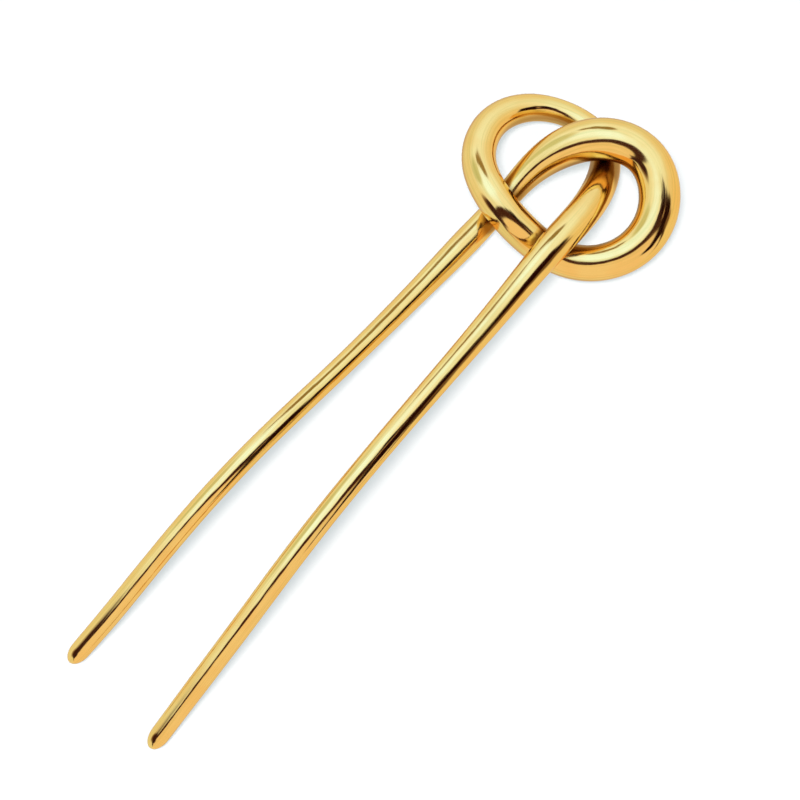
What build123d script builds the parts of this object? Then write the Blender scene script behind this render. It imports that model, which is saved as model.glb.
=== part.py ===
from build123d import *
import os

# A two-pronged hairpin bent from one polished metal rod. The rod runs up the right prong, ties
# itself into an open knot of two loops, and comes down again as the left prong.
# It lies as it would on a table: X across the pin, Y from the tips to the knot, Z up. The origin
# is on the table, under the middle of the pin.

# Lengths and widths of the bent rod, in millimetres
PRONG_LENGTH = 88.3       # from the knot's lower edge down to the end of the right prong
LEFT_PRONG_SHORT = 1.8    # how much sooner the left prong ends
KNOT_LENGTH = 25.8        # from the knot's lower edge up to its crown
KNOT_WIDTH = 34.0         # across both loops, outside to outside
NECK_SPREAD = 10.9        # between the middles of the prongs where they leave the knot
TIP_SPREAD = 16.4         # between the middles of the prongs at the tips
ARCH_HEIGHT = 8.8         # how far the prongs bow up between their tips and the knot

# Thickness of the rod, in millimetres
PRONG_GIRTH = 3.0         # the thin stretch of the prongs
LOOP_GIRTH = 6.2          # the stout stretch that makes the right loop
TIP_GIRTH = 2.8           # where the rounded tips begin
TIP_DOME = 2.4            # how far a rounded tip reaches past that
CROSSING_GAP = 0.12       # left between two strands that cross

SLICES = 2                # round sections from one station of the route to the next

# The two prongs, from the knot down to the tips. Each station pulls the rod towards itself.
# down is a share of PRONG_LENGTH; outward a share of the way from half of NECK_SPREAD to half
# of TIP_SPREAD; arch a share of ARCH_HEIGHT; ride a share of the strand that the right prong
# lies on in the knot; stout a share of the way from PRONG_GIRTH to LOOP_GIRTH.
# down, outward right, outward left, arch right, arch left, ride right, stout right, stout left
PRONG_STATIONS = [
    (0.030, -0.02, 0.31, -0.01, -0.01, 1.17, 0.38, 0.38),
    (0.125,  0.13, 0.35,  0.28,  0.09, 0.79, 0.25, 0.17),
    (0.239,  0.25, 0.39,  0.64,  0.26, 0.37, 0.14, 0.05),
    (0.369,  0.38, 0.45,  0.90,  0.51, 0.13, 0.08, 0.00),
    (0.506,  0.51, 0.61,  0.99,  0.77, 0.04, 0.05, 0.02),
    (0.642,  0.68, 0.70,  0.88,  0.85, 0.02, 0.06, 0.02),
    (0.767,  0.87, 0.75,  0.59,  0.64, 0.00, 0.02, 0.00),
    (0.878,  0.93, 0.81,  0.27,  0.27, 0.00, 0.00, 0.00),
]

# The knot, from the right prong round to the left one. across is a share of KNOT_WIDTH from the
# middle between the prongs; up a share of KNOT_LENGTH; stout as above. lift is a share of the
# strand that passes under the crossing named beside it, gap included.
# station, across, up, stout, crossing, lift
KNOT_STATIONS = [
    ("lower over",      0.156, 0.136, 0.55, "lower under",  1.14),
    ("climb",           0.155, 0.391, 0.58, "lower under",  0.85),
    ("turn in",         0.114, 0.629, 0.61, "lower under",  0.34),
    ("dive",            0.039, 0.821, 0.47, "upper under", -0.09),
    ("upper under",    -0.068, 0.922, 0.23, "upper under",  0.02),
    ("left crown",     -0.234, 0.907, 0.19, "upper under",  0.03),
    ("left shoulder",  -0.388, 0.787, 0.39, "left under",   0.16),
    ("left side",      -0.462, 0.539, 0.58, "left under",   0.55),
    ("left corner",    -0.371, 0.256, 0.66, "left under",   1.06),
    ("left over",      -0.185, 0.122, 0.73, "left under",   1.28),
    ("lower strand",   -0.003, 0.106, 0.75, "left under",   0.58),
    ("lower under",     0.162, 0.140, 0.67, "lower under", -0.07),
    ("right low",       0.321, 0.244, 0.73, "lower under",  0.01),
    ("right corner",    0.412, 0.446, 0.84, "upper under",  0.14),
    ("right side",      0.406, 0.674, 0.97, "upper under",  0.48),
    ("right shoulder",  0.301, 0.845, 0.98, "upper under",  0.94),
    ("right crown",     0.163, 0.905, 0.94, "upper under",  1.28),
    ("upper over",     -0.007, 0.822, 1.08, "upper under",  1.30),
    ("fall",           -0.134, 0.626, 0.91, "upper under",  0.77),
    ("fall low",       -0.182, 0.403, 0.33, "upper under",  0.33),
    ("left under",     -0.179, 0.178, 0.22, "left under",   0.01),
]


def girth(stout):
    """The rod's thickness where it is this stout."""
    return PRONG_GIRTH + stout * (LOOP_GIRTH - PRONG_GIRTH)


# The height of a crossing is the strand underneath and the gap over it
crossing = {
    station: girth(stout) + CROSSING_GAP for station, _, _, stout, _, _ in KNOT_STATIONS
}


def prong_station(side, down, outward, height, stout):
    """Place and thickness of the rod beside the pin's middle line: side is 1 right, -1 left."""
    across = side * (NECK_SPREAD + outward * (TIP_SPREAD - NECK_SPREAD)) / 2
    thick = girth(stout)
    return (across, -down * PRONG_LENGTH, height + thick / 2, thick)


right_prong = [(TIP_SPREAD / 2, TIP_DOME - PRONG_LENGTH, TIP_GIRTH / 2, TIP_GIRTH)]
left_prong = [(-TIP_SPREAD / 2, right_prong[0][1] + LEFT_PRONG_SHORT, TIP_GIRTH / 2, TIP_GIRTH)]
for station in reversed(PRONG_STATIONS):
    down, out_right, out_left, arch_right, arch_left, ride, stout_right, stout_left = station
    height = arch_right * ARCH_HEIGHT + ride * crossing["lower under"]
    right_prong.append(prong_station(1, down, out_right, height, stout_right))
    left_prong.append(prong_station(-1, down, out_left, arch_left * ARCH_HEIGHT, stout_left))

knot = []
for station, across, up, stout, under, lift in KNOT_STATIONS:
    thick = girth(stout)
    height = lift * crossing[under] + thick / 2
    knot.append((across * KNOT_WIDTH, up * KNOT_LENGTH, height, thick))

route = right_prong + knot + left_prong[::-1]

# One more station beyond each end, in line with the last two, so that the rod reaches its tips
before = tuple(2 * a - b for a, b in zip(route[0], route[1]))
after = tuple(2 * a - b for a, b in zip(route[-1], route[-2]))
pulls = [before] + route + [after]


def rod(along):
    """Middle, direction and thickness of the rod: a smooth cubic line that the pulls steer."""
    first = min(int(along), len(route) - 2)
    t = along - first
    near = pulls[first:first + 4]
    share = [(1 - t) ** 3, 3 * t**3 - 6 * t**2 + 4, -3 * t**3 + 3 * t**2 + 3 * t + 1, t**3]
    slope = [-((1 - t) ** 2), 3 * t**2 - 4 * t, -3 * t**2 + 2 * t + 1, t**2]
    x, y, z, thick = [sum(s * pull[i] for s, pull in zip(share, near)) / 6 for i in range(4)]
    direction = [sum(s * pull[i] for s, pull in zip(slope, near)) for i in range(3)]
    return Vector(x, y, z), Vector(*direction).normalized(), thick


def across_rod(along, facing=1):
    """The plane square to the rod, level on its X side, that faces on or back along it."""
    middle, direction, _ = rod(along)
    direction = direction * facing
    return Plane(origin=middle, x_dir=Vector(0, 0, 1).cross(direction), z_dir=direction)


rod_end = len(route) - 1

with BuildPart() as knotted_pin:
    for slice_number in range(rod_end * SLICES + 1):
        along = slice_number / SLICES
        with BuildSketch(across_rod(along)):
            Circle(rod(along)[2] / 2)
    loft()

    # Each prong ends in half an egg, turned about the rod's own line
    for along, facing in ((0, -1), (rod_end, 1)):
        end = across_rod(along, facing)
        radius = rod(along)[2] / 2
        with BuildSketch(Plane(origin=end.origin, x_dir=end.z_dir, z_dir=end.y_dir)):
            with BuildLine():
                rim = EllipticalCenterArc((0, 0), TIP_DOME, radius, 0, arc_size=90)
                Polyline(rim @ 1, (0, 0), rim @ 0)
            make_face()
        revolve(axis=Axis(end.origin, end.z_dir))

# The origin goes under the middle of the pin, with the lowest strand on the table
box = knotted_pin.part.bounding_box(optimal=True)
pin = knotted_pin.part.moved(Location((-box.center().X, -box.center().Y, -box.min.Z)))
pin.label = "knotted_pin"

os.makedirs("parts", exist_ok=True)
export_step(pin, "parts/knotted_pin.step")

print("size", box.size, "volume", round(pin.volume, 1), "valid", pin.is_valid)
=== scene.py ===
from math import asin, cos, pi, radians, sin

import bpy
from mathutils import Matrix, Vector, noise


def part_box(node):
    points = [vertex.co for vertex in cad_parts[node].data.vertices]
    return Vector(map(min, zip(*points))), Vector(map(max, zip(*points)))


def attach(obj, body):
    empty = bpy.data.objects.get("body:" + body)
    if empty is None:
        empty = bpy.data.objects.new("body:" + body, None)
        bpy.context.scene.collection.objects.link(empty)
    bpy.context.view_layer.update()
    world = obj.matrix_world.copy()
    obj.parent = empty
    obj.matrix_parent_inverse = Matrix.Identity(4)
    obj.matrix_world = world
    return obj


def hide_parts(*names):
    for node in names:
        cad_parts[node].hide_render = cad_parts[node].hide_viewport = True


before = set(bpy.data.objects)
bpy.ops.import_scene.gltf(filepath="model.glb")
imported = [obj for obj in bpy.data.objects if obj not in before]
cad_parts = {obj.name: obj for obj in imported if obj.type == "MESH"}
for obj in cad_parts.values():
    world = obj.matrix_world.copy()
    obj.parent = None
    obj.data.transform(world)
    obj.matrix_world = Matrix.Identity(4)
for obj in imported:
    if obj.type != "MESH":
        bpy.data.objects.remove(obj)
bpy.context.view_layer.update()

# The pin is one round rod of brass, drawn thin at its ends and left stout in the middle. The middle
# is tied into an open knot of two loops, the ends are the prongs, and the whole is gold-plated and
# polished by hand, which leaves it bright but a little uneven.
PRONG_LENGTH = 0.0883      # from the knot's lower edge down to the end of the right prong
LEFT_PRONG_SHORT = 0.0018  # how much sooner the left prong ends
KNOT_LENGTH = 0.0258       # from the knot's lower edge up to its crown
KNOT_WIDTH = 0.034         # across both loops, outside to outside
NECK_SPREAD = 0.0109       # between the middles of the prongs where they leave the knot
TIP_SPREAD = 0.0164        # between the middles of the prongs at the tips
ARCH_HEIGHT = 0.0088       # how far the prongs bow up between their tips and the knot
PRONG_GIRTH = 0.003        # the thin stretch of the prongs
LOOP_GIRTH = 0.0062        # the stout stretch that makes the right loop
TIP_GIRTH = 0.0028         # where the rounded tips begin
TIP_DOME = 0.0024          # how far a rounded tip reaches past that
CROSSING_GAP = 0.00012     # left between two strands that cross
POLISH_DEPTH = 0.00003     # how deep the hand polish wanders into the surface
POLISH_REACH = 0.006       # and how far it goes before it wanders back

# down is a share of PRONG_LENGTH; outward a share of the way from half of NECK_SPREAD to half
# of TIP_SPREAD; arch a share of ARCH_HEIGHT; ride a share of the strand that the right prong
# lies on in the knot; stout a share of the way from PRONG_GIRTH to LOOP_GIRTH.
# down, outward right, outward left, arch right, arch left, ride right, stout right, stout left
PRONG_STATIONS = [
    (0.030, -0.02, 0.31, -0.01, -0.01, 1.17, 0.38, 0.38),
    (0.125,  0.13, 0.35,  0.28,  0.09, 0.79, 0.25, 0.17),
    (0.239,  0.25, 0.39,  0.64,  0.26, 0.37, 0.14, 0.05),
    (0.369,  0.38, 0.45,  0.90,  0.51, 0.13, 0.08, 0.00),
    (0.506,  0.51, 0.61,  0.99,  0.77, 0.04, 0.05, 0.02),
    (0.642,  0.68, 0.70,  0.88,  0.85, 0.02, 0.06, 0.02),
    (0.767,  0.87, 0.75,  0.59,  0.64, 0.00, 0.02, 0.00),
    (0.878,  0.93, 0.81,  0.27,  0.27, 0.00, 0.00, 0.00),
]

# across is a share of KNOT_WIDTH from the middle between the prongs; up a share of KNOT_LENGTH;
# stout as above. lift is a share of the strand that passes under the crossing named beside it.
# station, across, up, stout, crossing, lift
KNOT_STATIONS = [
    ("lower over",      0.156, 0.136, 0.55, "lower under",  1.14),
    ("climb",           0.155, 0.391, 0.58, "lower under",  0.85),
    ("turn in",         0.114, 0.629, 0.61, "lower under",  0.34),
    ("dive",            0.039, 0.821, 0.47, "upper under", -0.09),
    ("upper under",    -0.068, 0.922, 0.23, "upper under",  0.02),
    ("left crown",     -0.234, 0.907, 0.19, "upper under",  0.03),
    ("left shoulder",  -0.388, 0.787, 0.39, "left under",   0.16),
    ("left side",      -0.462, 0.539, 0.58, "left under",   0.55),
    ("left corner",    -0.371, 0.256, 0.66, "left under",   1.06),
    ("left over",      -0.185, 0.122, 0.73, "left under",   1.28),
    ("lower strand",   -0.003, 0.106, 0.75, "left under",   0.58),
    ("lower under",     0.162, 0.140, 0.67, "lower under", -0.07),
    ("right low",       0.321, 0.244, 0.73, "lower under",  0.01),
    ("right corner",    0.412, 0.446, 0.84, "upper under",  0.14),
    ("right side",      0.406, 0.674, 0.97, "upper under",  0.48),
    ("right shoulder",  0.301, 0.845, 0.98, "upper under",  0.94),
    ("right crown",     0.163, 0.905, 0.94, "upper under",  1.28),
    ("upper over",     -0.007, 0.822, 1.08, "upper under",  1.30),
    ("fall",           -0.134, 0.626, 0.91, "upper under",  0.77),
    ("fall low",       -0.182, 0.403, 0.33, "upper under",  0.33),
    ("left under",     -0.179, 0.178, 0.22, "left under",   0.01),
]


def girth(stout):
    """The rod's thickness where it is this stout."""
    return PRONG_GIRTH + stout * (LOOP_GIRTH - PRONG_GIRTH)


# The height of a crossing is the strand underneath and the gap over it
crossing = {
    station: girth(stout) + CROSSING_GAP for station, _, _, stout, _, _ in KNOT_STATIONS
}


def prong_station(side, down, outward, height, stout):
    """Place and thickness of the rod beside the pin's middle line: side is 1 right, -1 left."""
    across = side * (NECK_SPREAD + outward * (TIP_SPREAD - NECK_SPREAD)) / 2
    thick = girth(stout)
    return (across, -down * PRONG_LENGTH, height + thick / 2, thick)


right_prong = [(TIP_SPREAD / 2, TIP_DOME - PRONG_LENGTH, TIP_GIRTH / 2, TIP_GIRTH)]
left_prong = [(-TIP_SPREAD / 2, right_prong[0][1] + LEFT_PRONG_SHORT, TIP_GIRTH / 2, TIP_GIRTH)]
for station in reversed(PRONG_STATIONS):
    down, out_right, out_left, arch_right, arch_left, ride, stout_right, stout_left = station
    height = arch_right * ARCH_HEIGHT + ride * crossing["lower under"]
    right_prong.append(prong_station(1, down, out_right, height, stout_right))
    left_prong.append(prong_station(-1, down, out_left, arch_left * ARCH_HEIGHT, stout_left))

knot = []
for _, across, up, stout, under, lift in KNOT_STATIONS:
    thick = girth(stout)
    height = lift * crossing[under] + thick / 2
    knot.append((across * KNOT_WIDTH, up * KNOT_LENGTH, height, thick))

route = right_prong + knot + left_prong[::-1]

# One more station beyond each end, in line with the last two, so that the rod reaches its tips
before = tuple(2 * a - b for a, b in zip(route[0], route[1]))
after = tuple(2 * a - b for a, b in zip(route[-1], route[-2]))
pulls = [before] + route + [after]


def rod(along):
    """Middle, direction and thickness of the rod: a smooth cubic line that the pulls steer."""
    first = min(int(along), len(route) - 2)
    t = along - first
    near = pulls[first:first + 4]
    share = [(1 - t) ** 3, 3 * t**3 - 6 * t**2 + 4, -3 * t**3 + 3 * t**2 + 3 * t + 1, t**3]
    slope = [-((1 - t) ** 2), 3 * t**2 - 4 * t, -3 * t**2 + 2 * t + 1, t**2]
    x, y, z, thick = [sum(s * pull[i] for s, pull in zip(share, near)) / 6 for i in range(4)]
    direction = [sum(s * pull[i] for s, pull in zip(slope, near)) for i in range(3)]
    return Vector((x, y, z)), Vector(direction).normalized(), thick


RINGS = 32                # rings of faces from one station to the next
ROUND = 72                # faces round a ring
DOME_RINGS = 12           # rings on a rounded tip

last = len(route) - 1


def dome(tip, outward):
    """Rings of one rounded tip: middle, direction, radius and station of each."""
    middle, direction, thick = rod(tip)
    rings = []
    for k in range(1, DOME_RINGS):
        turn = pi / 2 * k / DOME_RINGS
        reach = direction * outward * TIP_DOME * sin(turn)
        rings.append((middle + reach, direction, thick / 2 * cos(turn), tip))
    return rings


spots = dome(0, -1)[::-1]
for step in range(last * RINGS + 1):
    middle, direction, thick = rod(step / RINGS)
    spots.append((middle, direction, thick / 2, step / RINGS))
spots += dome(last, 1)

# How much of its view the rod's other strands take from each patch of the surface. Where they take
# much of it, the gold is painted a darker brown as shade, and it is duller where the cloth doesn't
# reach.
BEADS = 8                 # beads from one station to the next that stand in for the rod
PATCHES = 24              # patches round the rod
beads = []
for k in range(last * BEADS):
    middle, direction, thick = rod(k / BEADS)
    beads.append((middle, direction, thick * (rod((k + 1) / BEADS)[0] - middle).length))


def round_ring(direction, corners):
    """Directions square to the rod, evenly round it, from its X side on."""
    side = Vector((0, 0, 1)).cross(direction).normalized()
    over = direction.cross(side)
    turns = [2 * pi * corner / corners for corner in range(corners)]
    return [side * cos(turn) + over * sin(turn) for turn in turns]


shelter = []
for k in range(last * BEADS + 1):
    middle, direction, thick = rod(k / BEADS)
    shares = []
    for out in round_ring(direction, PATCHES):
        point = middle + out * thick / 2
        share = 0
        for bead, bead_direction, area in beads:
            away = bead - point
            facing = away.dot(out)
            if facing > 0:
                far = away.length
                share += facing * area * away.cross(bead_direction).length / (pi * far**4)
        shares.append(min(share, 1))
    shelter.append(shares)

# The skin: rings of points along the rod and one point on each tip. Each point also keeps how much
# it is sheltered, and its grain: where it lies round the rod and how far along it.
verts, faces, sheltered, grain = [], [], [], []
start = spots[0][0]
verts.append(rod(0)[0] - rod(0)[1] * TIP_DOME)
sheltered.append(0)
grain += (0, 0, 0)
along = 0
for middle, direction, radius, station in spots:
    along += (middle - start).length
    start = middle
    bead = min(int(station * BEADS), last * BEADS - 1)
    bead_share = station * BEADS - bead
    for corner, out in enumerate(round_ring(direction, ROUND)):
        wander = noise.noise((middle + out * radius) / POLISH_REACH)
        verts.append(middle + out * (radius - POLISH_DEPTH * (0.5 + 0.5 * wander)))
        patch, patch_share = divmod(corner * PATCHES / ROUND, 1)
        near = [
            row[int(patch)] * (1 - patch_share) + row[(int(patch) + 1) % PATCHES] * patch_share
            for row in shelter[bead:bead + 2]
        ]
        sheltered.append(near[0] * (1 - bead_share) + near[1] * bead_share)
        turn = 2 * pi * corner / ROUND
        grain += (cos(turn), sin(turn), along)
verts.append(rod(last)[0] + rod(last)[1] * TIP_DOME)
sheltered.append(0)
grain += (0, 0, along)

for r in range(len(spots) - 1):
    for corner in range(ROUND):
        here, beside = 1 + r * ROUND + corner, 1 + r * ROUND + (corner + 1) % ROUND
        faces.append((here, beside, beside + ROUND, here + ROUND))
top = 1 + (len(spots) - 1) * ROUND
for corner in range(ROUND):
    beside = (corner + 1) % ROUND
    faces.append((0, 1 + beside, 1 + corner))
    faces.append((len(verts) - 1, top + corner, top + beside))

# The pin lies where the CAD pin lies
low, high = (Vector(corner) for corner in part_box("knotted_pin"))
mine_low = Vector([min(v[i] for v in verts) for i in range(3)])
mine_high = Vector([max(v[i] for v in verts) for i in range(3)])
shift = (low + high) / 2 - (mine_low + mine_high) / 2
shift.z = low.z - mine_low.z

pin_mesh = bpy.data.meshes.new("polished_pin")
pin_mesh.from_pydata([v + shift for v in verts], [], faces)
pin_mesh.polygons.foreach_set("use_smooth", [True] * len(faces))
pin_mesh.attributes.new("shelter", "FLOAT", "POINT").data.foreach_set("value", sheltered)
pin_mesh.attributes.new("grain", "FLOAT_VECTOR", "POINT").data.foreach_set("vector", grain)
pin_mesh.update()
pin = bpy.data.objects.new("polished_pin", pin_mesh)
bpy.context.collection.objects.link(pin)

# The gold plating, with painted shade: its colour is painted a darker brown in the creases of the
# knot, where the other strands take the light, and the creases are also duller. Its colour and
# gloss are a little uneven, with thin darker streaks and long shallow polish marks along the rod.
GOLD = (0.95, 0.58, 0.17)
PALE_GOLD = (0.95, 0.63, 0.20)
STREAK_GOLD = (0.82, 0.54, 0.15)
# Painted shade: the brown that the creases of the knot are painted, where the other strands take
# the light
PAINTED_CREASE_SHADE = (0.40, 0.21, 0.055)
EDGE_TINT = (0.95, 0.84, 0.75)      # what is left of the light that glances off the gold's edges
PATINA_SCALE = 260                  # how close the pale clouds lie, to the metre
STREAK_SCALE = (7, 60)              # how close the streaks lie, round the rod and along it
MARK_SCALE = (2.4, 110)             # and the polish marks
MARK_DEPTH = 0.00003                # how deep the polish marks are
PAINTED_SHADE_SHELTER = (0.44, 0.64)        # the shelter at which the painted crease shade begins, and at which it is full
DULL_SHELTER = (0.20, 0.90)         # and the same for the dullness
SMOOTHEST, ROUGHEST = 0.07, 0.12    # roughness between the polish marks and in them
CREASE_DULLNESS = 0.14              # roughness that a full crease adds

gold = bpy.data.materials.new("polished_gold")
gold.use_nodes = True
nodes, links = gold.node_tree.nodes, gold.node_tree.links
shader = nodes["Principled BSDF"]
shader.inputs["Metallic"].default_value = 1.0
shader.inputs["Specular Tint"].default_value = (*EDGE_TINT, 1)


# These add to the material that nodes and links stand for when they are called
def spread(value, low, high, to_low, to_high):
    """A value from low to high, eased to run from to_low to to_high."""
    node = nodes.new("ShaderNodeMapRange")
    node.interpolation_type = "SMOOTHSTEP"
    ends = {"From Min": low, "From Max": high, "To Min": to_low, "To Max": to_high}
    for name, number in ends.items():
        node.inputs[name].default_value = number
    links.new(value, node.inputs["Value"])
    return node.outputs["Result"]


def blend(share, one, other):
    """A colour that goes from one to the other with the share."""
    node = nodes.new("ShaderNodeMix")
    node.data_type = "RGBA"
    links.new(share, node.inputs["Factor"])
    for name, colour in (("A", one), ("B", other)):
        if isinstance(colour, tuple):
            node.inputs[name].default_value = (*colour, 1)
        else:
            links.new(colour, node.inputs[name])
    return node.outputs["Result"]


def attribute(name, output):
    """A value that the mesh carries."""
    node = nodes.new("ShaderNodeAttribute")
    node.attribute_name = name
    return node.outputs[output]


def cloud(place, scale, detail):
    """Smooth noise at this scale."""
    node = nodes.new("ShaderNodeTexNoise")
    node.inputs["Scale"].default_value = scale
    node.inputs["Detail"].default_value = detail
    links.new(place, node.inputs["Vector"])
    return node.outputs["Fac"]


def strokes(across, along):
    """Noise drawn out along the rod, so close across it and so close along it."""
    stretch = nodes.new("ShaderNodeVectorMath")
    stretch.operation = "MULTIPLY"
    stretch.inputs[1].default_value = (across, across, along)
    links.new(attribute("grain", "Vector"), stretch.inputs[0])
    return cloud(stretch.outputs["Vector"], 1, 3)


marks = strokes(*MARK_SCALE)
streaks = strokes(*STREAK_SCALE)
patina = cloud(nodes.new("ShaderNodeTexCoord").outputs["Object"], PATINA_SCALE, 2)
# Painted shade: where the other strands shelter the surface, its colour is blended to a darker
# brown
painted_crease_shade = spread(attribute("shelter", "Fac"), *PAINTED_SHADE_SHELTER, 0, 1)

tone = blend(spread(patina, 0.35, 0.65, 0, 1), GOLD, PALE_GOLD)
tone = blend(spread(streaks, 0.45, 0.70, 0, 0.8), tone, STREAK_GOLD)
tone = blend(painted_crease_shade, tone, PAINTED_CREASE_SHADE)
links.new(tone, shader.inputs["Base Color"])

rough = nodes.new("ShaderNodeMath")
rough.operation = "ADD"
dullness = spread(attribute("shelter", "Fac"), *DULL_SHELTER, 0, CREASE_DULLNESS)
links.new(spread(marks, 0.30, 0.70, SMOOTHEST, ROUGHEST), rough.inputs[0])
links.new(dullness, rough.inputs[1])
links.new(rough.outputs["Value"], shader.inputs["Roughness"])

bump = nodes.new("ShaderNodeBump")
bump.inputs["Distance"].default_value = MARK_DEPTH
bump.inputs["Strength"].default_value = 1.0
links.new(marks, bump.inputs["Height"])
links.new(bump.outputs["Normal"], shader.inputs["Normal"])
pin_mesh.materials.append(gold)

# The gold throws no warm light back onto the paper
pin.visible_diffuse = False
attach(pin, "root")
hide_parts("knotted_pin")

# The floor is a large sheet of matt, off-white paper, laid flat under the pin. It isn't part of the
# pin, and the polish doesn't show it, because the tent stands in for it there.
FLOOR_SIDE = 3
OFF_WHITE = (0.92, 0.91, 0.90)
MATT = 0.9

bpy.ops.mesh.primitive_plane_add(size=FLOOR_SIDE)
floor = bpy.context.object
floor.name = "paper_floor"
floor.visible_glossy = False
paper = bpy.data.materials.new("matt_paper")
paper.use_nodes = True
sheet = paper.node_tree.nodes["Principled BSDF"]
sheet.inputs["Base Color"].default_value = (*OFF_WHITE, 1)
sheet.inputs["Roughness"].default_value = MATT
floor.data.materials.append(paper)

# The camera looks down on the pin from beside its tips, 70 degrees up. Its lens is long, so the
# prongs keep nearly their true proportions.
LENS = 120
FILM_WIDTH = 36
CAMERA_PLACE = (0.08626, -0.09637, 0.36065)
CAMERA_TILT = 20          # degrees off straight down
CAMERA_TURN = 40          # degrees round the pin

camera_data = bpy.data.cameras.new("camera")
camera_data.lens = LENS
camera_data.sensor_width = FILM_WIDTH
camera_data.clip_start = 0.01
camera = bpy.data.objects.new("camera", camera_data)
camera.location = CAMERA_PLACE
camera.rotation_euler = (radians(CAMERA_TILT), 0, radians(CAMERA_TURN))
bpy.context.collection.objects.link(camera)
bpy.context.scene.camera = camera
bpy.context.view_layer.update()

# The studio is a small white tent round the pin: daylight through its back and roof, a softbox on a
# frame overhead, warm lamplight on the cloth in front, and dark gaps where the tent opens. It only
# shows in the polish.
TENT_MIDDLE = (0.003, 0.035, 0.006)
TENT_RADIUS = 0.25
BACK_CLOTH = (0.87, 0.96, 0.96)
SOFTBOX = (0.96, 1.26, 1.75)
SOFTBOX_HEART = (1.00, 1.55, 2.80)
FRAME_BAR = (0.32, 0.27, 0.13)
WARM_CLOTH = (0.94, 0.86, 0.76)
SIDE_CLOTH = (0.92, 0.84, 0.62)
FLOOR_SHADE = (0.66, 0.62, 0.55)
GAP = (0.045, 0.017, 0.020)
DEEP_GAP = (0.016, 0.002, 0.002)
GAP_EDGE = (0.20, 0.12, 0.07)
SEAM = (0.06, 0.022, 0.02)
FOLD = (0.50, 0.38, 0.34)
WORN_CLOTH = (0.66, 0.84, 0.80)

# Each patch of the tent has its place and size as a polished ball in the tent's middle would show
# them to the camera, in shares of the ball's radius, then the share of its size that its edge fades
# over, and its colour. A later patch lies over an earlier one.
# patch, across, up, size, fade, colour
TENT = [
    ("floor by the pin",   0.00, -1.00, 0.36,  0.8,  FLOOR_SHADE),
    ("side cloth",         0.80, -0.20, 0.40,  1.0,  SIDE_CLOTH),
    ("softbox",           -0.08,  0.34, 0.40,  0.7,  SOFTBOX),
    ("softbox heart",     -0.12,  0.26, 0.17,  1.0,  SOFTBOX_HEART),
    ("worn cloth",        -0.42,  0.33, 0.12,  1.0,  WORN_CLOTH),
    ("frame bar",         -0.02,  0.50, 0.07,  0.6,  FRAME_BAR),
    ("frame bar left",    -0.12,  0.52, 0.06,  0.8,  FRAME_BAR),
    ("frame bar tail",    -0.21,  0.51, 0.04,  0.9,  FRAME_BAR),
    ("seam",               0.12, -0.40, 0.45,  0.08, SEAM),
    ("warm cloth",         0.13, -0.48, 0.395, 0.08, WARM_CLOTH),
    ("warm cloth foot",    0.10, -0.66, 0.33,  0.3,  WARM_CLOTH),
    ("left gap edge",     -0.46, -0.17, 0.12,  1.0,  GAP_EDGE),
    ("left gap",          -0.39, -0.18, 0.12,  0.5,  GAP),
    ("left gap foot",     -0.36, -0.31, 0.10,  0.5,  GAP),
    ("right gap neck",     0.12,  0.06, 0.045, 0.7,  GAP),
    ("right gap arm",      0.21,  0.07, 0.060, 0.6,  DEEP_GAP),
    ("right gap",          0.32,  0.04, 0.065, 0.6,  GAP),
    ("right gap side",    0.425, -0.05, 0.125, 0.4,  DEEP_GAP),
    ("right gap knee",    0.445, -0.17, 0.095, 0.5,  DEEP_GAP),
    ("right gap foot",    0.415, -0.29, 0.07,  0.6,  DEEP_GAP),
    ("right gap tail",     0.55, -0.10, 0.06,  1.0,  GAP_EDGE),
    ("fold",               0.29,  0.01, 0.022, 0.8,  FOLD),
]

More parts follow.
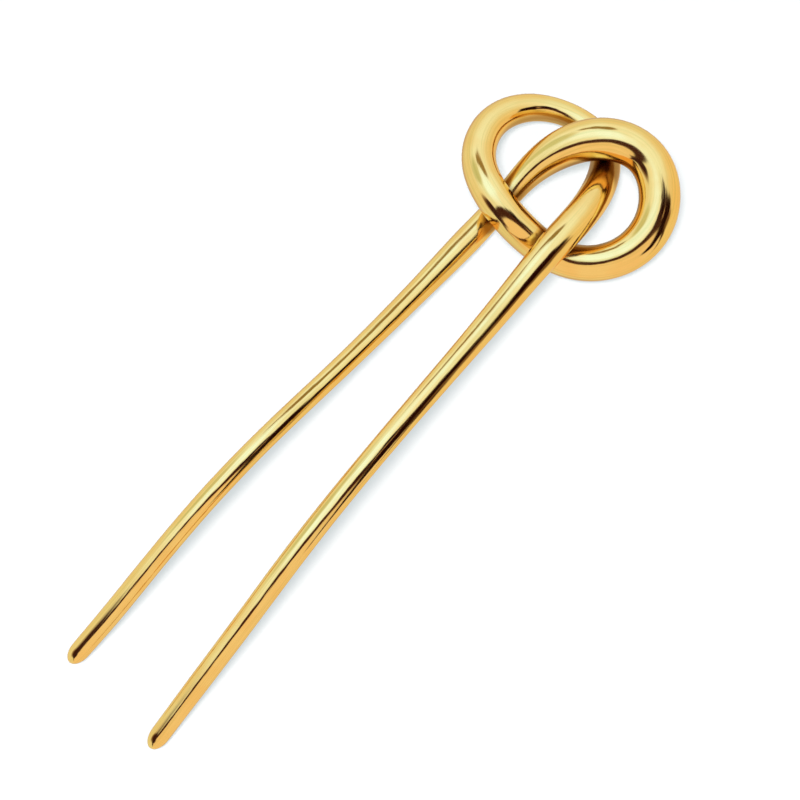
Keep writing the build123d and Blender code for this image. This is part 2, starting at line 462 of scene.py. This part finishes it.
bpy.ops.mesh.primitive_uv_sphere_add(radius=TENT_RADIUS, location=TENT_MIDDLE)
tent = bpy.context.object
tent.name = "tent"
cloth = bpy.data.materials.new("lit_cloth")
cloth.use_nodes = True
nodes, links = cloth.node_tree.nodes, cloth.node_tree.links
nodes.remove(nodes["Principled BSDF"])
sight = nodes.new("ShaderNodeVectorMath")
sight.operation = "NORMALIZE"
links.new(nodes.new("ShaderNodeTexCoord").outputs["Object"], sight.inputs[0])
light = nodes.new("ShaderNodeRGB").outputs["Color"]
light.default_value = (*BACK_CLOTH, 1)
turn = camera.matrix_world.to_3x3()
back = turn @ Vector((0, 0, 1))
for name, across, up, size, fade, colour in TENT:
    # The ball faces this way there, and shows what lies twice as far round from the camera
    facing = turn @ Vector((across, up, max(0, 1 - across**2 - up**2) ** 0.5))
    near = nodes.new("ShaderNodeVectorMath")
    near.operation = "DOT_PRODUCT"
    near.inputs[1].default_value = 2 * facing.dot(back) * facing - back
    links.new(sight.outputs["Vector"], near.inputs[0])
    edge = (cos(2 * asin(size * (1 + fade / 2))), cos(2 * asin(size * (1 - fade / 2))))
    patch = blend(spread(near.outputs["Value"], *edge, 0, 1), light, colour)
    patch.node.label = name
    light = patch
glow = nodes.new("ShaderNodeEmission")
links.new(light, glow.inputs["Color"])
links.new(glow.outputs["Emission"], nodes["Material Output"].inputs["Surface"])
tent.data.materials.append(cloth)
tent.visible_camera = False
tent.visible_diffuse = False
tent.visible_shadow = False

# Light from all round, a wide soft ceiling light and one small soft lamp just up and left of the
# camera fall on the paper, and the lamp gives the pin its shadow. Past the paper the camera sees a
# plain pale wall.
ROOM_LIGHT = (0.425, 0.485, 0.500)
PALE_WALL = (0.93, 0.94, 0.95)
LAMP_TINT = (1.0, 0.93, 0.91)
WHITE = (1.0, 1.0, 1.0)

room = bpy.data.worlds.new("room")
bpy.context.scene.world = room
room.use_nodes = True
nodes, links = room.node_tree.nodes, room.node_tree.links
seen = nodes.new("ShaderNodeLightPath").outputs["Is Camera Ray"]
links.new(blend(seen, ROOM_LIGHT, PALE_WALL), nodes["Background"].inputs["Color"])


def round_lamp(name, toward, size, energy, colour):
    """A round, soft lamp a metre from the pin on this side, which the polish doesn't show."""
    data = bpy.data.lights.new(name, "AREA")
    data.shape = "DISK"
    data.size, data.energy, data.color = size, energy, colour
    lamp = bpy.data.objects.new(name, data)
    lamp.location = toward.normalized()
    lamp.rotation_euler = toward.to_track_quat("Z", "Y").to_euler()
    lamp.visible_glossy = False
    lamp.visible_camera = False
    bpy.context.collection.objects.link(lamp)


lamp_side = turn @ Vector((-0.10, 0.07, 1))
round_lamp("lamp", lamp_side, size=0.23, energy=4.6, colour=LAMP_TINT)
round_lamp("ceiling", Vector((0, 0, 1)), size=3.0, energy=8.2, colour=WHITE)

bpy.context.scene.view_settings.view_transform = "Standard"
